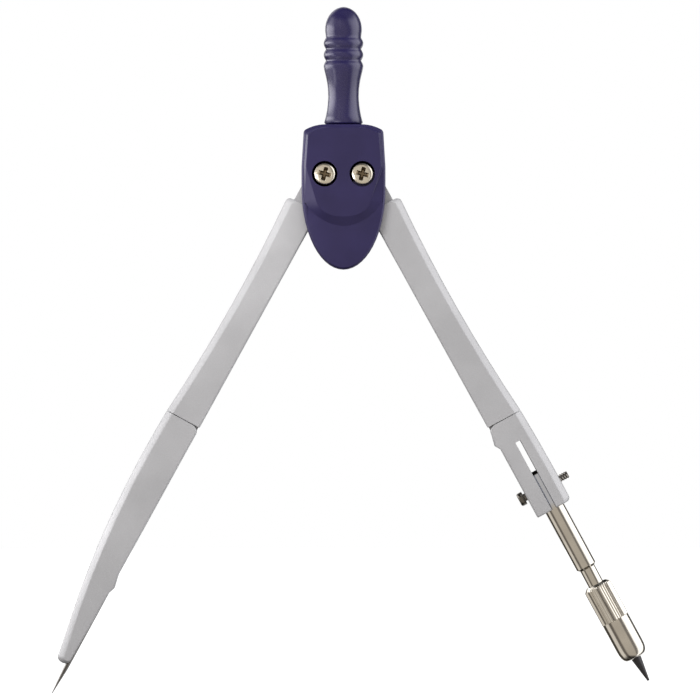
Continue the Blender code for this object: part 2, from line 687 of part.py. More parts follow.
def tooth(centre):
    """One tooth as (angle, radius) points; angles turn from the leg's own axis inward."""
    pitch = PIVOT_HALF
    module = 2 * pitch / TOOTH_COUNT
    base = pitch * math.cos(PRESSURE_ANGLE)
    tip = pitch + ADDENDUM_SHARE * module
    root = pitch - DEDENDUM_SHARE * module
    thickness = math.pi * module / 2 - BACKLASH
    half_at_base = thickness / 2 / pitch + involute(PRESSURE_ANGLE)
    flank = [(half_at_base, root)]
    for k in range(FLANK_STEPS + 1):
        radius = base + (tip - base) * k / FLANK_STEPS
        flank.append((half_at_base - involute(math.acos(base / radius)), radius))
    rising = [(centre - half, radius) for half, radius in flank]
    falling = [(centre + half, radius) for half, radius in reversed(flank)]
    return rising + falling


def tongue_outline(first_tooth):
    """The tongue in (u, v): a toothed sector on the inner side, a round blank and a neck."""
    pitch_angle = 2 * math.pi / TOOTH_COUNT
    teeth = [tooth(first_tooth + pitch_angle * k) for k in range(SECTOR_TEETH)]
    root = teeth[0][0][1]
    space = teeth[1][0][0] - teeth[0][-1][0]
    neck_start = math.asin(TONGUE_INNER / root)
    run_in = teeth[0][0][0] - neck_start
    polar = [(neck_start + run_in * k / ARC_STEPS, root) for k in range(ARC_STEPS)]
    for points in teeth:
        polar += points
    blank_start = teeth[-1][-1][0] + space
    blank_turn = 2 * math.pi - math.asin(TONGUE_OUTER / SECTOR_BLANK_RADIUS) - blank_start
    steps = 3 * ARC_STEPS
    polar += [(blank_start + blank_turn * k / steps, SECTOR_BLANK_RADIUS) for k in range(steps + 1)]
    outline = [(radius * math.cos(angle), -radius * math.sin(angle)) for angle, radius in polar]
    end = SHOULDER_DISTANCE + TONGUE_OVERLAP
    return outline + [(end, TONGUE_OUTER), (end, -TONGUE_INNER)]


def in_leg(points, sign, origin=(0.0, 0.0)):
    """(u, v) points of a leg as (x, z) points about a joint at the origin."""
    return [(sign * (v - origin[1]), origin[0] - u) for u, v in points]


def down_leg(sign, outward, origin=(0.0, 0.0)):
    """A turned solid's heights run down the leg from its pivot, at this distance outward."""
    place = Matrix.Translation((sign * (outward - origin[1]), 0.0, origin[0]))
    return place @ Matrix.Rotation(math.pi, 4, "X")


def knee_pivot(side):
    return (KNEE_PIVOT_DISTANCE, KNEE_RADIUS - KNEE_INNER[side])


def knuckle(side, chamfer):
    """The lower leg's top inner corner, round the knee pin; its chamfer fades towards the top."""
    centre = knee_pivot(side)
    points = arc(centre, KNEE_RADIUS, -math.pi / 2, -math.pi)
    return [(u, v + chamfer * (centre[1] - v) / KNEE_RADIUS) for u, v in points]


def edge_inset(step):
    """How far the outer edge has moved in at a step from the leg's side, 0, to its face."""
    angle = math.pi / 2 * step / EDGE_ROUND_STEPS
    return OUTER_EDGE_ROUND * (1 - math.cos(angle) ** OUTER_EDGE_FLATNESS)


def round_edged(outline_at, sign, origin=(0.0, 0.0)):
    """A leg's solid, its outer edges broad and round and the inner ones chamfered.

    The function outline_at gives the leg's outline for an inset of the outer edge and a chamfer.
    """
    sections = []
    for side in (-1, 1):
        for k in range(EDGE_ROUND_STEPS + 1):
            step = k if side == 1 else EDGE_ROUND_STEPS - k
            chamfer = INNER_EDGE_CHAMFER if step == EDGE_ROUND_STEPS else 0.0
            depth = LEG_HALF_DEPTH - edge_inset(EDGE_ROUND_STEPS - step)
            outline = outline_at(edge_inset(step), chamfer)
            sections.append((in_leg(outline, sign, origin), side * depth))
    return loft(sections)


def upper_leg_outline(side, inset, chamfer):
    corner = (SHOULDER_DISTANCE, SHOULDER_OUTER - inset)
    round_start = (corner[0], corner[1] - SHOULDER_ROUND)
    round_end = (corner[0] + SHOULDER_ROUND, corner[1])
    guides = (UPPER_LEG_FIRST_GUIDE - inset, UPPER_LEG_SECOND_GUIDE - inset)
    knee = (UPPER_LEG_END, KNEE_OUTER[side] - inset)
    outline = [(knee[0], chamfer - KNEE_INNER[side]), (corner[0], chamfer - SHOULDER_INNER)]
    outline += bend(round_start, corner, round_end)
    return outline + outer_curve(round_end, *guides, knee, UPPER_LEG_STEPS)


def lug_outline(centre):
    start = UPPER_LEG_END - LUG_OVERLAP
    outline = [(start, centre[1] - LUG_RADIUS)]
    outline += arc(centre, LUG_RADIUS, -math.pi / 2, math.pi / 2, 2 * ARC_STEPS)
    return outline + [(start, centre[1] + LUG_RADIUS)]


def make_upper_leg(side, first_tooth, material, parent):
    sign = SIDES[side]
    centre = knee_pivot(side)
    body = round_edged(lambda inset, chamfer: upper_leg_outline(side, inset, chamfer), sign)
    leg = add_piece("upper_leg_" + side, body, material, parent)
    join(leg, prism(in_leg(tongue_outline(first_tooth), sign), -TONGUE_HALF, TONGUE_HALF))
    join(leg, prism(in_leg(lug_outline(centre), sign), -LUG_HALF, LUG_HALF))
    reach = LEG_HALF_DEPTH + OVERRUN
    cut(leg, rod(PIVOT_HOLE_RADIUS, -reach, reach, across()))
    cut(leg, rod(KNEE_PIN_RADIUS + SEAT, -reach, reach, across(*in_leg([centre], sign)[0])))


def cut_fork(leg, side):
    """The fork that the upper leg's lug enters, with a blind hole for the knee pin."""
    centre = knee_pivot(side)
    wide = KNEE_OUTER[side] + OVERRUN
    start = LOWER_LEG_START - OVERRUN
    slot = [(start, -wide), (FORK_END, -wide), (FORK_END, wide), (start, wide)]
    cut(leg, prism(in_leg(slot, SIDES[side], centre), -FORK_HALF, FORK_HALF))
    front = KNEE_PIN_COVER - LEG_HALF_DEPTH - SEAT
    cut(leg, rod(KNEE_PIN_RADIUS + SEAT, front, LEG_HALF_DEPTH + OVERRUN, across()))


def make_knee_pin(side, material, parent):
    pin = rod(KNEE_PIN_RADIUS, KNEE_PIN_COVER - LEG_HALF_DEPTH, LEG_HALF_DEPTH, across())
    add_piece("knee_pin_" + side, pin, material, parent)


def needle_leg_outline(inset, chamfer):
    """From the knee down the outer edge, round the end and up the inner edge with its lug."""
    knee = (LOWER_LEG_START, NEEDLE_KNEE_OUTER - inset)
    guides = (NEEDLE_FIRST_GUIDE - inset, NEEDLE_SECOND_GUIDE - inset)
    curve_end = (NEEDLE_CURVE_END, NEEDLE_CURVE_OUTER - inset)
    end = (NEEDLE_POINTED_END, NEEDLE_END_OUTER - inset)
    length = NEEDLE_LEG_END - inset * NEEDLE_END_INSET_SHARE
    inner_end = (NEEDLE_POINTED_END, chamfer - NEEDLE_END_INNER)
    tip = (length, (end[1] + inner_end[1]) / 2)
    outline = [knee] + outer_curve(knee, *guides, curve_end, NEEDLE_CURVE_STEPS)
    outline += bend(end, (length, end[1]), tip)
    outline += bend(tip, (length, inner_end[1]), inner_end)[1:]
    outline.append((NEEDLE_LUG_END, chamfer - NEEDLE_LUG_END_INNER))
    outline.append((NEEDLE_LUG_PEAK, chamfer - NEEDLE_LUG_INNER))
    outline.append((NEEDLE_LUG_START, chamfer - NEEDLE_LUG_START_INNER))
    return outline + knuckle("left", chamfer)


def thin_towards_end(bm, centre):
    """Narrows the needle leg's depth, from the end of its thick stretch to its own end."""
    start = centre[0] - NEEDLE_THICK_END
    geometry = list(bm.verts) + list(bm.edges) + list(bm.faces)
    bmesh.ops.bisect_plane(bm, geom=geometry, plane_co=(0.0, 0.0, start), plane_no=(0.0, 0.0, 1.0))
    for vert in bm.verts:
        share = max(start - vert.co.z, 0.0) / (NEEDLE_LEG_END - NEEDLE_THICK_END)
        vert.co.y *= 1 - share * (1 - NEEDLE_END_DEPTH_SHARE)


def make_needle_leg(material, parent):
    """The needle's top lies in a bore behind the lug, and the rest in a groove along the edge."""
    side = "left"
    sign = SIDES[side]
    centre = knee_pivot(side)
    body = round_edged(needle_leg_outline, sign, centre)
    thin_towards_end(body, centre)
    leg = add_piece("needle_leg", body, material, parent)
    cut_fork(leg, side)
    end = NEEDLE_LEG_END + OVERRUN
    bore = rod(NEEDLE_RADIUS + SEAT / 2, NEEDLE_TOP - SEAT, end, down_leg(sign, -NEEDLE_AXIS_INNER, centre))
    cut(leg, bore)
    top = NEEDLE_LUG_END - NEEDLE_GROOVE_ABOVE_STEP
    wide = -NEEDLE_LUG_INNER - OVERRUN
    groove = [(top, -NEEDLE_AXIS_INNER), (end, -NEEDLE_AXIS_INNER), (end, wide), (top, wide)]
    half = NEEDLE_RADIUS + SEAT / 4
    cut(leg, prism(in_leg(groove, sign, centre), -half, half))


def make_needle(material, parent):
    profile = [
        (NEEDLE_RADIUS, NEEDLE_TOP),
        (NEEDLE_RADIUS, NEEDLE_TIP - NEEDLE_CONE_LENGTH),
        (NEEDLE_POINT_RADIUS, NEEDLE_TIP),
    ]
    axis = down_leg(SIDES["left"], -NEEDLE_AXIS_INNER, knee_pivot("left"))
    add_piece("needle", turned(profile, axis, SMALL_ROUND_STEPS), material, parent)


def lead_leg_outline(inset, chamfer):
    outer = LEAD_END_OUTER - inset
    end = LEAD_LEG_END - chamfer
    knee = (LOWER_LEG_START, LEAD_KNEE_OUTER - inset)
    middle = ((LOWER_LEG_START + LEAD_LEG_END) / 2, LEAD_GUIDE_OUTER - inset)
    round_start = (end - LEAD_END_ROUND, outer)
    outline = bend(knee, middle, round_start)[:-1]
    outline += bend(round_start, (end, outer), (end, outer - LEAD_END_ROUND))
    outline.append((end, chamfer - LEAD_END_INNER))
    outline.append((LEAD_LUG_END, chamfer - LEAD_END_INNER))
    outline.append((LEAD_LUG_PEAK, chamfer - LEAD_LUG_INNER))
    return outline + knuckle("right", chamfer)


def clamp_place(origin):
    """A turned solid's heights run outward across the lead leg, behind the holder's bore."""
    x, z = in_leg([(CLAMP_DISTANCE, 0.0)], SIDES["right"], origin)[0]
    return Matrix.Translation((x, CLAMP_DEPTH, z)) @ Matrix.Rotation(math.pi / 2, 4, "Y")


def leg_box(start, end, inner, outer):
    return [(start, inner), (start, outer), (end, outer), (end, inner)]


def make_lead_leg(material, parent):
    """A bore for the holder, split by a slot, with two ears that the clamp screw draws together."""
    side = "right"
    sign = SIDES[side]
    centre = knee_pivot(side)
    leg = add_piece("lead_leg", round_edged(lead_leg_outline, sign, centre), material, parent)
    ears = leg_box(
        CLAMP_DISTANCE - CLAMP_EAR_HALF,
        CLAMP_DISTANCE + CLAMP_EAR_HALF,
        SEAT - LEAD_END_INNER,
        LEAD_KNEE_OUTER - OUTER_EDGE_ROUND,
    )
    join(leg, prism(in_leg(ears, sign, centre), HOLDER_BORE_RADIUS, CLAMP_EAR_DEPTH))
    cut_fork(leg, side)
    end = LEAD_LEG_END + OVERRUN
    bore = rod(HOLDER_BORE_RADIUS, SLOT_TOP, end, down_leg(sign, HOLDER_AXIS_OUTER, centre), ROUND_STEPS)
    cut(leg, bore)
    slot = leg_box(SLOT_TOP, end, SLOT_AXIS_OUTER - SLOT_HALF, SLOT_AXIS_OUTER + SLOT_HALF)
    reach = CLAMP_EAR_DEPTH + OVERRUN
    cut(leg, prism(in_leg(slot, sign, centre), -reach, reach))
    inner = -LEAD_LUG_INNER - OVERRUN
    cut(leg, rod(CLAMP_HOLE_RADIUS, inner, LEAD_END_OUTER + OVERRUN, clamp_place(centre)))


def make_clamp_screw(material, parent):
    head_end = -LEAD_END_INNER - CLAMP_HEAD_STAND
    head_top = head_end - CLAMP_HEAD_THICKNESS
    profile = [
        (CLAMP_HEAD_RADIUS, head_top),
        (CLAMP_HEAD_RADIUS, head_end),
        (CLAMP_SCREW_RADIUS, head_end),
        (CLAMP_SCREW_RADIUS, LEAD_END_OUTER + CLAMP_SCREW_STAND),
    ]
    screw = add_piece("clamp_screw", turned(profile, steps=SMALL_ROUND_STEPS), material, parent)
    wide = CLAMP_HEAD_RADIUS + OVERRUN
    slot_size = (-CLAMP_SLOT_HALF, CLAMP_SLOT_HALF, -wide, wide)
    cut(screw, block(*slot_size, head_top - OVERRUN, head_top + CLAMP_SLOT_DEPTH))


def make_stem(material, parent):
    profile = [
        (STEM_RADIUS - STEM_CHAMFER, STEM_TOP),
        (STEM_RADIUS, STEM_TOP + STEM_CHAMFER),
        (STEM_RADIUS, STEM_TUBE_END - STEM_CHAMFER),
        (STEM_RADIUS - STEM_CHAMFER, STEM_TUBE_END),
        (HOLDER_NECK_RADIUS, STEM_TUBE_END),
        (HOLDER_NECK_RADIUS, STEM_THREAD_START),
        (STEM_THREAD_RADIUS, STEM_THREAD_START),
        (STEM_THREAD_RADIUS, STEM_THREAD_END),
    ]
    stem = add_piece("lead_holder_stem", turned(profile), material, parent)
    cut(stem, rod(LEAD_BORE_RADIUS, LEAD_TOP - LEAD_SLIDE_ROOM, STEM_THREAD_END + OVERRUN))


def make_collet(material, parent):
    profile = [
        (LEAD_BORE_RADIUS, COLLET_TOP),
        (COLLET_RADIUS, COLLET_TOP),
        (COLLET_RADIUS, COLLET_CONE_START),
        (COLLET_END_RADIUS, COLLET_END),
        (LEAD_BORE_RADIUS, COLLET_END),
    ]
    collet = add_piece("collet", turned(profile, loop=True), material, parent)
    wide = COLLET_RADIUS + OVERRUN
    slit_size = (-COLLET_SLIT_HALF, COLLET_SLIT_HALF, -wide, wide)
    for k in range(2):
        slit = block(*slit_size, COLLET_TOP + COLLET_RING_LENGTH, COLLET_END + OVERRUN)
        cut(collet, moved(slit, Matrix.Rotation(k * math.pi / 2, 4, "Z")))


def make_sleeve(material, parent):
    """A knurled sleeve; its bore ends in a cone that closes the collet's jaws."""
    knurl_start = SLEEVE_TOP + 2 * SLEEVE_RIM_LENGTH
    profile = [
        (SLEEVE_BORE_RADIUS, SLEEVE_TOP),
        (SLEEVE_MOUTH_RADIUS, SLEEVE_TOP),
        (SLEEVE_RIM_RADIUS, SLEEVE_TOP + SLEEVE_RIM_LENGTH),
        (KNURL_RADIUS, knurl_start, KNURL_DEPTH),
        (KNURL_RADIUS, KNURL_END, KNURL_DEPTH),
        (SLEEVE_RADIUS, KNURL_END + KNURL_RUNOUT),
    ]
    profile += bend(
        (SLEEVE_RADIUS, SLEEVE_ROUND_START),
        (SLEEVE_RADIUS, SLEEVE_NOSE),
        (SLEEVE_NOSE_RADIUS, SLEEVE_NOSE),
    )
    profile += [
        (LEAD_BORE_RADIUS, SLEEVE_NOSE),
        (LEAD_BORE_RADIUS, COLLET_END + SEAT),
        (COLLET_END_RADIUS + LEAD_FIT, COLLET_END + SEAT),
        (COLLET_RADIUS + LEAD_FIT, COLLET_CONE_START + SEAT),
        (SLEEVE_BORE_RADIUS, COLLET_CONE_START),
    ]
    steps = GROOVE_STEPS * KNURL_RIDGES
    add_piece("chuck_sleeve", turned(profile, steps=steps, loop=True), material, parent)


def make_lead(material, parent):
    profile = [
        (LEAD_RADIUS, LEAD_TOP),
        (LEAD_RADIUS, LEAD_TIP - LEAD_CONE_LENGTH),
        (LEAD_POINT_RADIUS, LEAD_TIP),
    ]
    add_piece("lead", turned(profile, steps=SMALL_ROUND_STEPS), material, parent)


def add_axis(name, parent, place):
    empty = bpy.data.objects.new(name, None)
    empty.empty_display_size = PIVOT_SPACING
    empty.parent = parent
    empty.matrix_basis = place
    bpy.context.scene.collection.objects.link(empty)
    return empty


def first_tooth_angle(side):
    """At the open angle a tooth of the right sector points into a gap of the left one."""
    pitch_angle = 2 * math.pi / TOOTH_COUNT
    facing = math.pi / 2 + OPEN_ANGLE
    gaps_before = 1.0 if side == "right" else 1.5
    return facing - gaps_before * pitch_angle


def main():
    clear_scene()
    materials = {
        "indigo": make_material("indigo_plastic", INDIGO, 0.4, 0.0),
        "silver": make_material("silver_paint", SILVER, 0.45, 0.6),
        "nickel": make_material("nickel_plate", NICKEL, 0.2, 1.0),
        "gold": make_material("passivated_steel", SCREW_GOLD, 0.3, 1.0),
        "dark": make_material("hardened_steel", STEEL_DARK, 0.35, 1.0),
        "graphite": make_material("graphite", GRAPHITE, 0.5, 0.2),
        "washer": make_material("washer_steel", WASHER_GREY, 0.4, 1.0),
    }
    root = add_axis("pivot_line", None, Matrix.Translation((0.0, 0.0, -GRIP_ABOVE_PIVOTS)))
    make_head(materials, root)
    knees = {}
    for side, sign in SIDES.items():
        place = Matrix.Translation((sign * PIVOT_HALF, 0.0, 0.0))
        turn = Matrix.Rotation(-sign * OPEN_ANGLE, 4, "Y")
        pivot = add_axis(side + "_leg_axis", root, place @ turn)
        make_upper_leg(side, first_tooth_angle(side), materials["silver"], pivot)
        x, z = in_leg([knee_pivot(side)], sign)[0]
        knees[side] = add_axis(side + "_knee_axis", pivot, Matrix.Translation((x, 0.0, z)))
        make_knee_pin(side, materials["dark"], knees[side])
    make_needle_leg(materials["silver"], knees["left"])
    make_needle(materials["dark"], knees["left"])
    make_lead_leg(materials["silver"], knees["right"])
    centre = knee_pivot("right")
    make_clamp_screw(materials["nickel"], add_axis("clamp_axis", knees["right"], clamp_place(centre)))
    holder_place = down_leg(SIDES["right"], HOLDER_AXIS_OUTER, centre)
    holder = add_axis("holder_axis", knees["right"], holder_place)
    make_stem(materials["nickel"], holder)
    make_collet(materials["nickel"], holder)
    make_sleeve(materials["nickel"], holder)
    make_lead(materials["graphite"], holder)


main()
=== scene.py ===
"""The looks of the drawing compass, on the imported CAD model. Lengths are in metres, +Z is up."""
import json
import math

import bmesh
import bpy
from mathutils import Matrix, Vector


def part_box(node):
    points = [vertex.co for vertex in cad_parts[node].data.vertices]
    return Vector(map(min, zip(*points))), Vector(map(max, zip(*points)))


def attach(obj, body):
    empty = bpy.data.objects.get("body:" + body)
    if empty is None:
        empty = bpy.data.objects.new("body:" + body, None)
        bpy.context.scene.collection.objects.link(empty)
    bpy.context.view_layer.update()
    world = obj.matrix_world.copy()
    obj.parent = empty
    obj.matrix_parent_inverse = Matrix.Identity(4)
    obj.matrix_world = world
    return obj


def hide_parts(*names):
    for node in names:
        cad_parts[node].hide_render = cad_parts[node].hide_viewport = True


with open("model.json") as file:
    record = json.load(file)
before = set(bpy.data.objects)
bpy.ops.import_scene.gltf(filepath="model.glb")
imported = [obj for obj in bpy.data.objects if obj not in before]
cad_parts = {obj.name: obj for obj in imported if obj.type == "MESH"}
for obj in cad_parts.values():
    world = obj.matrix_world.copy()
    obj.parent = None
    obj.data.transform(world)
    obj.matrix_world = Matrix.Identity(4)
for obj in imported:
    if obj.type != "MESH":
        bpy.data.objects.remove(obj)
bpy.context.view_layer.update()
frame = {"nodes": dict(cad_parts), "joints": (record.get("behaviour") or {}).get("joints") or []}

MM = 0.001
SCENE = bpy.context.scene

# Camera: the photograph is 700 pixels wide and 0.2 mm of the compass fills one pixel
PIXEL = 0.2 * MM
IMAGE_WIDTH = 700
CAMERA_DISTANCE = 1200 * MM
CAMERA_X = 1.3 * MM
CAMERA_Z = -59.0 * MM
SENSOR = 36.0

# The lead holder leans outward by this angle, and the light tent's panels stand along it
LEAN = math.radians(28.6)

# Clamp screw: the CAD screw's sizes, and the thread that its outer end has
CLAMP_RADIUS = 0.8 * MM
CLAMP_HEAD_RADIUS = 1.4 * MM
CLAMP_HEAD_THICKNESS = 1.2 * MM
CLAMP_HEAD_TOP = -3.65 * MM
CLAMP_END = 7.5 * MM
CLAMP_SLOT_HALF = 0.2 * MM
CLAMP_SLOT_DEPTH = 0.5 * MM
THREAD_PITCH = 0.5 * MM
THREAD_DEPTH = 0.2 * MM
THREAD_LENGTH = 3.6 * MM
SCREW_STEPS = 32
DOME_STEPS = 4
STEPS_PER_PITCH = 8

# Edges: the CAD's double points lie within the weld, faces within the flat angle are joined before an
# edge is rounded, and edges sharper than the bevel angle are rounded
WELD = 0.002 * MM
FLAT_ANGLE = math.radians(0.6)
BEVEL_ANGLE = math.radians(32)
BEVEL_SEGMENTS = 2

# The cross recesses of the pivot screws lie within this radius and get painted shade, the stem's end
# gets painted shade this far and a paler, bluer painted reflection as far as the clamp holds it, and
# this share of the knurl's slopes is polished away
RECESS_RADIUS = 1.45 * MM
STEM_END = 0.8 * MM
STEM_CLAMPED = 8.6 * MM
KNURL_WEAR = 0.52

# Colours, linear
SILVER = (0.52, 0.515, 0.53)
SILVER_FLAKE = (0.62, 0.62, 0.63)
INDIGO = (0.023, 0.018, 0.072)
GRIP_INDIGO = (0.013, 0.009, 0.064)
PLASTIC_SHINE = (0.88, 0.84, 1.0)
NICKEL = (0.66, 0.625, 0.565)
GOLD = (0.86, 0.80, 0.68)
# Painted shade in the pivot screws' cross recesses
PAINTED_RECESS_SHADE = (0.20, 0.155, 0.10)
# Painted reflection on the stem where the clamp holds it
PAINTED_CLAMP_REFLECTION = (0.66, 0.70, 0.79)
# Painted shade at the stem's end
SHADE = (0.012, 0.011, 0.010)
STEEL = (0.16, 0.155, 0.15)
CLAMP_STEEL = (0.17, 0.16, 0.145)
GRAPHITE = (0.028, 0.026, 0.028)

# The floor lies this far under the points at rest, which clears them as the legs close and the lead
# slides out; its white is a diffuse share and a glow, and it sends less light back up than it shows
FLOOR_DROP = 24 * MM
FLOOR_RADIUS = 1.6
FLOOR_WHITE = 0.8
FLOOR_GLOW = 0.32
FLOOR_UNSEEN = 0.15

# Noise: the part of its range that it mostly fills, and the scales of the textures, per metre
NOISE_LOW, NOISE_HIGH = 0.3, 0.7
FLAKES = 7000.0
PAINT_TONE = 110.0
PLASTIC_CLOUD = 160.0
PLASTIC_GRAIN = 5200.0
LATHE_LINES = 900.0
STAINS = 260.0
LEAD_GRAIN = 6000.0

# Light for diffuse surfaces, by the height it comes from, and what shines in glossy ones: panels round
# the lead holder, by their start and end in degrees from the camera's side, with colours as shares of
# the brightest one, and the panels' shares by height
FILL = 1.15
FILL_HEIGHTS = ((-0.5, 0.12), (0.3, 1.0))
GLOSS = 1.8
GLOSS_PANELS = (
    (-180.0, -160.0, (0.56, 0.56, 0.56)),
    (-152.0, -113.0, (0.04, 0.036, 0.03)),
    (-106.0, -77.0, (0.48, 0.46, 0.43)),
    (-69.0, -53.0, (0.10, 0.09, 0.08)),
    (-43.0, 19.0, (0.33, 0.305, 0.27)),
    (26.0, 43.0, (0.14, 0.13, 0.12)),
    (53.0, 110.0, (1.0, 1.0, 1.0)),
    (118.0, 150.0, (0.05, 0.05, 0.05)),
    (157.0, 180.0, (0.56, 0.56, 0.56)),
)
GLOSS_HEIGHTS = ((-0.92, 0.10), (-0.74, 1.0), (0.58, 1.0), (0.75, 0.10))

# Lamps: azimuth in degrees from the camera's side, positive to the right, height, distance, width and
# length in metres, radiance, and whether it shines in glossy surfaces or lights diffuse ones, as the
# cards and softboxes of a tent do
LAMPS = (
    ("key_left", -32, 0.08, 0.17, 0.10, 0.10, 7.2, False),
    ("key_right", 40, -0.13, 0.20, 0.10, 0.10, 1.2, False),
    ("fill_right", 88, 0.0, 0.45, 0.40, 0.36, 0.9, False),
    ("shine_left", -98, 0.02, 0.45, 0.64, 0.165, 3.8, True),
    ("shine_high_left", -94, 0.19, 0.45, 0.48, 0.25, 0.9, True),
    ("shine_right", 92, 0.10, 0.45, 0.46, 0.36, 0.5, True),
    ("shine_low_left", -62, -0.16, 0.45, 0.14, 0.12, 3.0, True),
    ("shine_head", -41, -0.034, 0.043, 0.023, 0.023, 2.8, True),
)


def shade(colour, share):
    return [min(channel * share, 1.0) for channel in colour]


class Paint:
    """A Principled material and the nodes that feed it. Textures use the object's own coordinates."""

    def __init__(self, name, colour, roughness, metallic):
        self.material = bpy.data.materials.new(name)
        self.material.use_nodes = True
        self.tree = self.material.node_tree
        self.shader = self.tree.nodes["Principled BSDF"]
        self.shader.inputs["Base Color"].default_value = (*colour, 1.0)
        self.shader.inputs["Roughness"].default_value = roughness
        self.shader.inputs["Metallic"].default_value = metallic
        self.place = self.tree.nodes.new("ShaderNodeTexCoord")

    def add(self, kind, links=(), **values):
        node = self.tree.nodes.new(kind)
        for name, value in values.items():
            key = name.replace("_", " ").title()
            if key in node.inputs:
                node.inputs[key].default_value = value
            else:
                setattr(node, name, value)
        for target, source in links:
            self.tree.links.new(source, node.inputs[target])
        return node

    def noise(self, scale, detail=2.0):
        place = self.place.outputs["Object"]
        node = self.add("ShaderNodeTexNoise", [("Vector", place)], scale=scale, detail=detail)
        return node.outputs["Fac"]

    def ramp(self, value, stops):
        node = self.add("ShaderNodeValToRGB", [("Fac", value)])
        elements = node.color_ramp.elements
        for k, (position, colour) in enumerate(stops):
            element = elements[k] if k < 2 else elements.new(position)
            element.position = position
            element.color = (*colour, 1.0) if len(colour) == 3 else (colour[0],) * 3 + (1.0,)
        return node.outputs["Color"]

    def between(self, value, start, end, low=0.0, high=1.0):
        """Maps a value from the range start to end to the range low to high."""
        node = self.add("ShaderNodeMapRange", [("Value", value)])
        for name, number in (("From Min", start), ("From Max", end), ("To Min", low), ("To Max", high)):
            node.inputs[name].default_value = number
        return node.outputs["Result"]

    def spread(self, noise, low, high):
        """Maps a noise to the range low to high."""
        return self.between(noise, NOISE_LOW, NOISE_HIGH, low, high)

    def vary(self, noise, colour, low, high, end=NOISE_HIGH):
        """Colours the base by a noise, from a darker share of the colour to a lighter one."""
        stops = [(NOISE_LOW, shade(colour, low)), (end, shade(colour, high))]
        self.feed("Base Color", self.ramp(noise, stops))

    def cover(self, share, colour):
        """Mixes a colour over the base colour, by a share from 0 to 1."""
        mix = self.add("ShaderNodeMix", [("Factor", share)], data_type="RGBA")
        self.tree.links.new(self.shader.inputs["Base Color"].links[0].from_socket, mix.inputs[6])
        mix.inputs[7].default_value = (*colour, 1.0)
        self.feed("Base Color", mix.outputs[2])

    def feed(self, name, output):
        self.tree.links.new(output, self.shader.inputs[name])

    def bump(self, height, strength, distance):
        node = self.add("ShaderNodeBump", [("Height", height)], strength=strength, distance=distance)
        self.feed("Normal", node.outputs["Normal"])


def silver_paint():
    """Metallic paint on a casting: fine flakes, a faint orange peel and broad changes in tone."""
    paint = Paint("silver_metallic_paint", SILVER, 0.42, 0.2)
    flakes = paint.noise(FLAKES)
    broad = paint.noise(PAINT_TONE)
    colours = paint.ramp(flakes, [(0.32, shade(SILVER, 0.9)), (0.6, SILVER), (0.78, SILVER_FLAKE)])
    tone = paint.ramp(broad, [(NOISE_LOW, (0.93,)), (NOISE_HIGH, (1.04,))])
    mixed = paint.add("ShaderNodeMix", data_type="RGBA", blend_type="MULTIPLY")
    mixed.inputs["Factor"].default_value = 1.0
    paint.tree.links.new(colours, mixed.inputs[6])
    paint.tree.links.new(tone, mixed.inputs[7])
    paint.feed("Base Color", mixed.outputs[2])
    paint.feed("Roughness", paint.spread(flakes, 0.36, 0.5))
    paint.bump(flakes, 0.2, 0.02 * MM)
    return paint.material


def indigo_plastic(name, colour, roughness, grain, coat=0.0):
    """Moulded plastic with a fine grain and slight changes in depth of colour."""
    paint = Paint(name, colour, roughness, 0.0)
    paint.shader.inputs["Specular IOR Level"].default_value = 0.45
    paint.shader.inputs["Specular Tint"].default_value = (*PLASTIC_SHINE, 1.0)
    paint.shader.inputs["Coat Weight"].default_value = coat
    paint.shader.inputs["Coat IOR"].default_value = 1.9
    paint.shader.inputs["Coat Roughness"].default_value = 0.34
    paint.vary(paint.noise(PLASTIC_CLOUD), colour, 0.9, 1.12)
    fine = paint.noise(PLASTIC_GRAIN, 3.0)
    paint.feed("Roughness", paint.spread(fine, roughness * 0.85, roughness * 1.2))
    paint.bump(fine, grain, 0.015 * MM)
    return paint.material


def turned_metal(name, colour, roughness):
    """Bright metal with fine lathe lines round its axis and faint stains."""
    paint = Paint(name, colour, roughness, 1.0)
    lines = paint.noise(LATHE_LINES, 3.0)
    paint.vary(paint.noise(STAINS), colour, 0.92, 1.06)
    paint.feed("Roughness", paint.spread(lines, roughness * 0.7, roughness * 1.4))
    paint.bump(lines, 0.12, 0.01 * MM)
    return paint


def screw_metal():
    """Pale gold plate, with painted shade down in the cross recess."""
    paint = turned_metal("passivated_steel", GOLD, 0.24)
    low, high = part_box("pivot_screw_right")
    split = paint.add("ShaderNodeSeparateXYZ", [(0, paint.place.outputs["Object"])])
    aside = paint.add("ShaderNodeMath", [(0, split.outputs["X"])], operation="ABSOLUTE")
    flat = paint.add("ShaderNodeCombineXYZ", [("X", aside.outputs[0]), ("Z", split.outputs["Z"])])
    reach = paint.add("ShaderNodeVectorMath", [(0, flat.outputs[0])], operation="DISTANCE")
    reach.inputs[1].default_value = ((low.x + high.x) / 2, 0.0, (low.z + high.z) / 2)
    # Painted shade: the base colour darkens within the recess radius and deeper below the head's face
    inside = paint.between(reach.outputs["Value"], RECESS_RADIUS, RECESS_RADIUS - 0.1 * MM)
    depth = paint.between(split.outputs["Y"], low.y + 0.02 * MM, low.y + 0.14 * MM)
    share = paint.add("ShaderNodeMath", [(0, inside), (1, depth)], operation="MULTIPLY")
    paint.cover(share.outputs[0], PAINTED_RECESS_SHADE)
    return paint.material


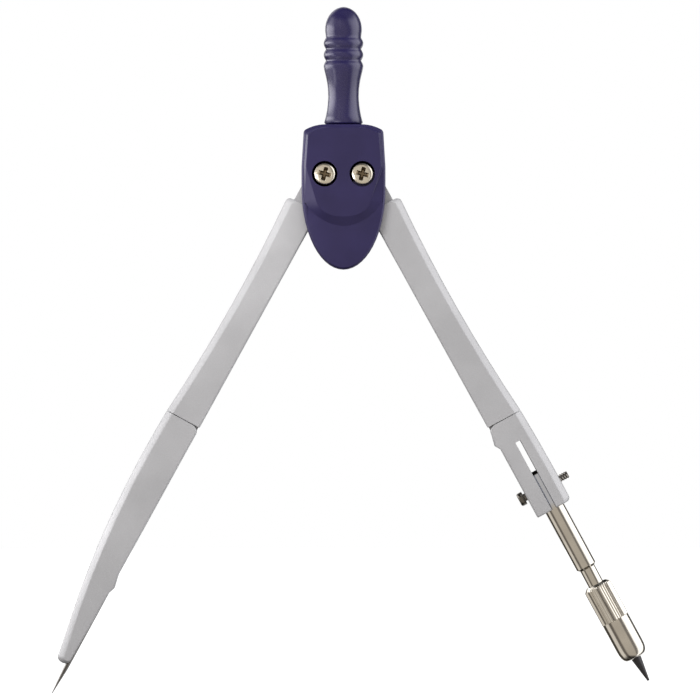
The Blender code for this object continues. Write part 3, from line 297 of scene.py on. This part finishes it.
def stem_metal(nickel):
    """The nickel of the lead holder's stem, with a paler, bluer painted reflection where it is clamped
    and painted shade at its end.
    """
    paint = turned_metal("nickel_plate_stem", *nickel)
    slide = next(joint for joint in frame["joints"] if joint["name"] == "lead_holder_slide")
    upward = Vector(slide["axis"]).normalized()
    upward *= math.copysign(1.0, upward.z)
    top = max(upward.dot(vertex.co) for vertex in frame["nodes"]["lead_holder_stem"].data.vertices)
    place = paint.place.outputs["Object"]
    along = paint.add("ShaderNodeVectorMath", [(0, place)], operation="DOT_PRODUCT")
    along.inputs[1].default_value = upward
    height = along.outputs["Value"]
    # Painted reflection: paler, bluer metal along the stretch of the stem that the clamp holds
    paint.cover(paint.between(height, top - STEM_CLAMPED, top - STEM_CLAMPED + 2 * STEM_END), PAINTED_CLAMP_REFLECTION)
    # Painted shade: the top STEM_END of the stem turns near black
    paint.cover(paint.between(height, top - STEM_END, top - STEM_END + 0.15 * MM), SHADE)
    return paint.material


def sleeve_metal(nickel):
    """The nickel of the chuck sleeve, with the ridges of its knurl polished shallower."""
    paint = turned_metal("nickel_plate_sleeve", *nickel)
    turn = next(joint for joint in frame["joints"] if joint["name"] == "chuck_turn")
    place = paint.place.outputs["Object"]
    outward = paint.add("ShaderNodeVectorMath", [(0, place)], operation="SUBTRACT")
    outward.inputs[1].default_value = turn["pos_m"]
    across = paint.add("ShaderNodeVectorMath", [(1, outward.outputs[0])], operation="CROSS_PRODUCT")
    across.inputs[0].default_value = turn["axis"]
    around = paint.add("ShaderNodeVectorMath", [(0, across.outputs[0])], operation="NORMALIZE")
    normal = paint.place.outputs["Normal"]
    slope = paint.add("ShaderNodeVectorMath", [(0, normal), (1, around.outputs[0])],
                      operation="DOT_PRODUCT")
    worn = paint.add("ShaderNodeMath", [(0, slope.outputs["Value"])], operation="MULTIPLY")
    worn.inputs[1].default_value = KNURL_WEAR
    part = paint.add("ShaderNodeVectorMath", [(0, around.outputs[0]), ("Scale", worn.outputs[0])],
                     operation="SCALE")
    softer = paint.add("ShaderNodeVectorMath", [(0, normal), (1, part.outputs[0])],
                       operation="SUBTRACT")
    world = paint.add("ShaderNodeVectorTransform", [("Vector", softer.outputs[0])],
                      vector_type="NORMAL", convert_from="OBJECT", convert_to="WORLD")
    bump = paint.shader.inputs["Normal"].links[0].from_node
    paint.tree.links.new(world.outputs[0], bump.inputs["Normal"])
    return paint.material


def graphite():
    """The lead: dark and slightly metallic, with a grain."""
    paint = Paint("graphite_lead", GRAPHITE, 0.36, 0.4)
    grain = paint.noise(LEAD_GRAIN, 4.0)
    paint.vary(grain, GRAPHITE, 0.8, 1.7, end=0.75)
    paint.feed("Roughness", paint.spread(grain, 0.27, 0.48))
    paint.bump(grain, 0.3, 0.02 * MM)
    return paint.material


def smooth_group(degrees):
    """Smooths a mesh, and keeps the edges that turn by more than an angle sharp."""
    group = bpy.data.node_groups.new(f"smooth_by_{degrees}_degrees", "GeometryNodeTree")
    group.interface.new_socket("Geometry", in_out="INPUT", socket_type="NodeSocketGeometry")
    group.interface.new_socket("Geometry", in_out="OUTPUT", socket_type="NodeSocketGeometry")
    start = group.nodes.new("NodeGroupInput")
    end = group.nodes.new("NodeGroupOutput")
    faces = group.nodes.new("GeometryNodeSetShadeSmooth")
    faces.domain = "FACE"
    edges = group.nodes.new("GeometryNodeSetShadeSmooth")
    edges.domain = "EDGE"
    edges.inputs["Shade Smooth"].default_value = False
    angle = group.nodes.new("GeometryNodeInputMeshEdgeAngle")
    wide = group.nodes.new("FunctionNodeCompare")
    wide.operation = "GREATER_THAN"
    wide.inputs[1].default_value = math.radians(degrees)
    links = group.links
    links.new(start.outputs[0], faces.inputs["Geometry"])
    links.new(faces.outputs[0], edges.inputs["Geometry"])
    links.new(angle.outputs["Unsigned Angle"], wide.inputs[0])
    links.new(wide.outputs[0], edges.inputs["Selection"])
    links.new(edges.outputs[0], end.inputs[0])
    return group


FACETED, EDGED, ROUNDED = (smooth_group(degrees) for degrees in (15, 32, 62))


def finish_edges(item, bevel, smoothing):
    """Rounds a CAD node's sharp edges with modifiers; its own vertices stay as imported."""
    mesh = item.data
    if "custom_normal" in mesh.attributes:
        mesh.attributes.remove(mesh.attributes["custom_normal"])
    mesh.shade_smooth()
    weld = item.modifiers.new("weld", "WELD")
    weld.merge_threshold = WELD
    if bevel:
        flat = item.modifiers.new("flat", "DECIMATE")
        flat.decimate_type = "DISSOLVE"
        flat.angle_limit = FLAT_ANGLE
        edge = item.modifiers.new("edge", "BEVEL")
        edge.width = bevel
        edge.segments = BEVEL_SEGMENTS
        edge.limit_method = "ANGLE"
        edge.angle_limit = BEVEL_ANGLE
        edge.use_clamp_overlap = False
    smooth = item.modifiers.new("smooth", "NODES")
    smooth.node_group = smoothing
    if smoothing is EDGED:
        weigh = item.modifiers.new("weigh", "WEIGHTED_NORMAL")
        weigh.keep_sharp = True


def dress():
    silver = silver_paint()
    head = indigo_plastic("indigo_head_plastic", INDIGO, 0.35, 0.25)
    grip = indigo_plastic("indigo_grip_plastic", GRIP_INDIGO, 0.26, 0.02, 0.3)
    nickel = turned_metal("nickel_plate", NICKEL, 0.13).material
    stem = stem_metal((NICKEL, 0.13))
    sleeve = sleeve_metal((NICKEL, 0.13))
    gold = screw_metal()
    steel = turned_metal("hardened_steel", STEEL, 0.25).material
    lead = graphite()
    looks = {
        "handle_grip": (grip, 0.0, ROUNDED),
        "head_front_cover": (head, 0.07 * MM, FACETED),
        "head_back_cover": (head, 0.15 * MM, FACETED),
        "pivot_screw_left": (gold, 0.05 * MM, EDGED),
        "pivot_screw_right": (gold, 0.05 * MM, EDGED),
        "pivot_nut_left": (gold, 0.08 * MM, EDGED),
        "pivot_nut_right": (gold, 0.08 * MM, EDGED),
        "washer_left_front": (steel, 0.0, EDGED),
        "washer_left_back": (steel, 0.0, EDGED),
        "washer_right_front": (steel, 0.0, EDGED),
        "washer_right_back": (steel, 0.0, EDGED),
        "upper_leg_left": (silver, 0.11 * MM, EDGED),
        "upper_leg_right": (silver, 0.11 * MM, EDGED),
        "needle_leg": (silver, 0.11 * MM, EDGED),
        "lead_leg": (silver, 0.08 * MM, EDGED),
        "knee_pin_left": (steel, 0.0, EDGED),
        "knee_pin_right": (steel, 0.0, EDGED),
        "needle": (steel, 0.0, EDGED),
        "lead_holder_stem": (stem, 0.0, EDGED),
        "collet": (nickel, 0.0, EDGED),
        "chuck_sleeve": (sleeve, 0.0, EDGED),
        "lead": (lead, 0.0, EDGED),
    }
    for name, (material, bevel, smoothing) in looks.items():
        item = frame["nodes"][name]
        item.data.materials.clear()
        item.data.materials.append(material)
        finish_edges(item, bevel, smoothing)
    add_clamp_screw(turned_metal("clamp_steel", CLAMP_STEEL, 0.17).material)


def add_clamp_screw(material):
    """The clamp screw with its thread and a domed, slotted head, in the CAD screw's place."""
    joint = next(joint for joint in frame["joints"] if joint["name"] == "clamp_screw_turn")
    outward = -Vector(joint["axis"]).normalized()
    low = Vector(joint["pos_m"]) + outward * CLAMP_HEAD_TOP
    length = CLAMP_END - CLAMP_HEAD_TOP
    bm = bmesh.new()
    rings = []

    def ring(radius, height, pitch=0.0):
        verts = []
        for k in range(SCREW_STEPS):
            angle = 2 * math.pi * k / SCREW_STEPS
            phase = (height / pitch - k / SCREW_STEPS) % 1.0 if pitch else 0.0
            reach = radius - (THREAD_DEPTH * (1 - abs(2 * phase - 1)) if pitch else 0.0)
            verts.append(bm.verts.new((reach * math.cos(angle), reach * math.sin(angle), height)))
        rings.append(verts)

    edge = CLAMP_HEAD_THICKNESS / 3
    for k in range(DOME_STEPS + 1):
        turn = math.pi / 2 * k / DOME_STEPS
        ring(CLAMP_HEAD_RADIUS - edge * (1 - math.sin(turn)), edge * (1 - math.cos(turn)))
    ring(CLAMP_HEAD_RADIUS, CLAMP_HEAD_THICKNESS)
    ring(CLAMP_RADIUS, CLAMP_HEAD_THICKNESS)
    start = length - THREAD_LENGTH
    ring(CLAMP_RADIUS, start - THREAD_PITCH / 2)
    count = round(THREAD_LENGTH / THREAD_PITCH * STEPS_PER_PITCH)
    for k in range(count):
        ring(CLAMP_RADIUS, start + THREAD_LENGTH * k / count, THREAD_PITCH)
    ring(CLAMP_RADIUS - THREAD_DEPTH, length)
    bm.faces.new(rings[0][::-1])
    bm.faces.new(rings[-1])
    for near, far in zip(rings, rings[1:]):
        for i in range(len(near)):
            j = (i + 1) % len(near)
            bm.faces.new((near[i], near[j], far[j], far[i]))
    place = Matrix.Translation(low) @ outward.to_track_quat("Z", "Y").to_matrix().to_4x4()
    screw = add_mesh("clamp_screw_threaded", bm, place, material)
    slot = bmesh.new()
    bmesh.ops.create_cube(slot, size=1.0)
    size = Matrix.Diagonal((2 * CLAMP_SLOT_HALF, 4 * CLAMP_HEAD_RADIUS, 2 * CLAMP_SLOT_DEPTH, 1.0))
    cut_away(screw, slot, place @ size)
    finish_edges(screw, 0.04 * MM, EDGED)
    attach(screw, "clamp")
    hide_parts("clamp_screw")


def add_mesh(name, bm, place, material=None):
    bmesh.ops.transform(bm, matrix=place, verts=bm.verts)
    bmesh.ops.recalc_face_normals(bm, faces=bm.faces)
    mesh = bpy.data.meshes.new(name)
    bm.to_mesh(mesh)
    bm.free()
    item = bpy.data.objects.new(name, mesh)
    SCENE.collection.objects.link(item)
    if material:
        mesh.materials.append(material)
    return item


def cut_away(item, bm, place):
    """Cuts a helper solid from a piece at once, and deletes the helper."""
    helper = add_mesh(item.name + "_cut", bm, place)
    modifier = item.modifiers.new("cut", "BOOLEAN")
    modifier.operation = "DIFFERENCE"
    modifier.object = helper
    bpy.context.view_layer.update()
    graph = bpy.context.evaluated_depsgraph_get()
    result = bpy.data.meshes.new_from_object(item.evaluated_get(graph))
    item.modifiers.clear()
    old = item.data
    item.data = result
    bpy.data.meshes.remove(old)
    bpy.data.objects.remove(helper, do_unlink=True)


def light_path_mix(tree, choices, fallback):
    """Picks a shader by the kind of ray; choices are (ray outputs, shader output), first one wins."""
    paths = tree.nodes.new("ShaderNodeLightPath")
    result = fallback
    for rays, shader in reversed(choices):
        mix = tree.nodes.new("ShaderNodeMixShader")
        factor = paths.outputs[rays[0]]
        for ray in rays[1:]:
            both = tree.nodes.new("ShaderNodeMath")
            both.operation = "MAXIMUM"
            tree.links.new(factor, both.inputs[0])
            tree.links.new(paths.outputs[ray], both.inputs[1])
            factor = both.outputs[0]
        tree.links.new(factor, mix.inputs[0])
        tree.links.new(result, mix.inputs[1])
        tree.links.new(shader, mix.inputs[2])
        result = mix.outputs[0]
    return result


def add_floor():
    """White for the camera, with the object's shadow kept; darker for the light it sends back up."""
    bm = bmesh.new()
    bmesh.ops.create_circle(bm, cap_ends=True, segments=96, radius=FLOOR_RADIUS)
    mesh = bpy.data.meshes.new("floor")
    bm.to_mesh(mesh)
    bm.free()
    floor = bpy.data.objects.new("floor", mesh)
    floor.location = (0.0, 0.0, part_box("needle")[0].z - FLOOR_DROP)
    SCENE.collection.objects.link(floor)
    material = bpy.data.materials.new("floor_white")
    material.use_nodes = True
    tree = material.node_tree
    tree.nodes.clear()
    out = tree.nodes.new("ShaderNodeOutputMaterial")
    seen = tree.nodes.new("ShaderNodeBsdfDiffuse")
    seen.inputs["Color"].default_value = (*(FLOOR_WHITE,) * 3, 1.0)
    glow = tree.nodes.new("ShaderNodeEmission")
    glow.inputs["Strength"].default_value = FLOOR_GLOW
    both = tree.nodes.new("ShaderNodeAddShader")
    tree.links.new(seen.outputs[0], both.inputs[0])
    tree.links.new(glow.outputs[0], both.inputs[1])
    hidden = tree.nodes.new("ShaderNodeBsdfDiffuse")
    hidden.inputs["Color"].default_value = (*(FLOOR_UNSEEN,) * 3, 1.0)
    rays = ("Is Camera Ray", "Is Glossy Ray", "Is Transmission Ray")
    mixed = light_path_mix(tree, [(rays, both.outputs[0])], hidden.outputs[0])
    tree.links.new(mixed, out.inputs["Surface"])
    mesh.materials.append(material)
    floor.visible_glossy = False


def add_world():
    """A light tent: white backdrop, an even fill, and a dimmer room on the camera's side."""
    world = bpy.data.worlds.new("studio")
    world.use_nodes = True
    SCENE.world = world
    tree = world.node_tree
    tree.nodes.clear()
    out = tree.nodes.new("ShaderNodeOutputWorld")
    place = tree.nodes.new("ShaderNodeTexCoord")
    split = tree.nodes.new("ShaderNodeSeparateXYZ")
    tree.links.new(place.outputs["Generated"], split.inputs[0])

    def background(strength, colour=None):
        node = tree.nodes.new("ShaderNodeBackground")
        node.inputs["Strength"].default_value = strength
        node.inputs["Color"].default_value = (1.0, 1.0, 1.0, 1.0)
        if colour:
            tree.links.new(colour, node.inputs["Color"])
        return node.outputs[0]

    def ramp(value, low, high, stops):
        spread = tree.nodes.new("ShaderNodeMapRange")
        spread.inputs["From Min"].default_value = low
        spread.inputs["From Max"].default_value = high
        tree.links.new(value, spread.inputs["Value"])
        node = tree.nodes.new("ShaderNodeValToRGB")
        tree.links.new(spread.outputs["Result"], node.inputs[0])
        elements = node.color_ramp.elements
        for k, (position, colour) in enumerate(stops):
            share = (position - low) / (high - low)
            element = elements[k] if k < 2 else elements.new(share)
            element.position = share
            element.color = (*colour, 1.0)
        return node.outputs["Color"]

    def greys(stops):
        return [(position, (share,) * 3) for position, share in stops]

    def math_node(operation, *sources):
        node = tree.nodes.new("ShaderNodeMath")
        node.operation = operation
        for k, source in enumerate(sources):
            if isinstance(source, float):
                node.inputs[k].default_value = source
            else:
                tree.links.new(source, node.inputs[k])
        return node.outputs[0]

    sideways = math_node("MULTIPLY", split.outputs["X"], math.cos(LEAN))
    sideways = math_node("ADD", sideways, math_node("MULTIPLY", split.outputs["Z"], math.sin(LEAN)))
    forward = math_node("MULTIPLY", split.outputs["Y"], -1.0)
    azimuth = math_node("DEGREES", math_node("ARCTAN2", sideways, forward))
    panels = []
    for start, end, colour in GLOSS_PANELS:
        panels += [(start, colour), (end, colour)]
    heights = ramp(split.outputs["Z"], -1.0, 1.0, greys(GLOSS_HEIGHTS))
    shine = tree.nodes.new("ShaderNodeMix")
    shine.data_type = "RGBA"
    shine.blend_type = "MULTIPLY"
    shine.inputs["Factor"].default_value = 1.0
    tree.links.new(ramp(azimuth, -180.0, 180.0, panels), shine.inputs[6])
    tree.links.new(heights, shine.inputs[7])
    white = background(1.0)
    fill = background(FILL, ramp(split.outputs["Z"], -1.0, 1.0, greys(FILL_HEIGHTS)))
    gloss = background(GLOSS, shine.outputs[2])
    choices = [(("Is Camera Ray", "Is Transmission Ray"), white), (("Is Glossy Ray",), gloss)]
    tree.links.new(light_path_mix(tree, choices, fill), out.inputs["Surface"])


def add_lamp(name, azimuth, height, distance, width, length, radiance, shines):
    """An area lamp that faces the compass."""
    lamp = bpy.data.lights.new(name, "AREA")
    lamp.shape = "RECTANGLE"
    lamp.size = width
    lamp.size_y = length
    lamp.energy = radiance * math.pi * width * length
    item = bpy.data.objects.new(name, lamp)
    turn = math.radians(azimuth)
    item.location = (distance * math.sin(turn), -distance * math.cos(turn), height)
    away = item.location - Vector((0.0, 0.0, CAMERA_Z))
    item.rotation_euler = away.to_track_quat("Z", "Y").to_euler()
    item.visible_camera = False
    item.visible_diffuse = not shines
    item.visible_glossy = shines
    SCENE.collection.objects.link(item)


def add_camera():
    data = bpy.data.cameras.new("camera")
    data.sensor_width = SENSOR
    data.lens = SENSOR * CAMERA_DISTANCE / (IMAGE_WIDTH * PIXEL)
    data.clip_start = 0.01
    data.clip_end = 10.0
    camera = bpy.data.objects.new("camera", data)
    camera.location = (CAMERA_X, -CAMERA_DISTANCE, CAMERA_Z)
    camera.rotation_euler = (math.pi / 2, 0.0, 0.0)
    SCENE.collection.objects.link(camera)
    SCENE.camera = camera


SCENE.view_settings.view_transform = "Standard"
add_camera()
add_world()
add_floor()
for lamp in LAMPS:
    add_lamp(*lamp)
dress()
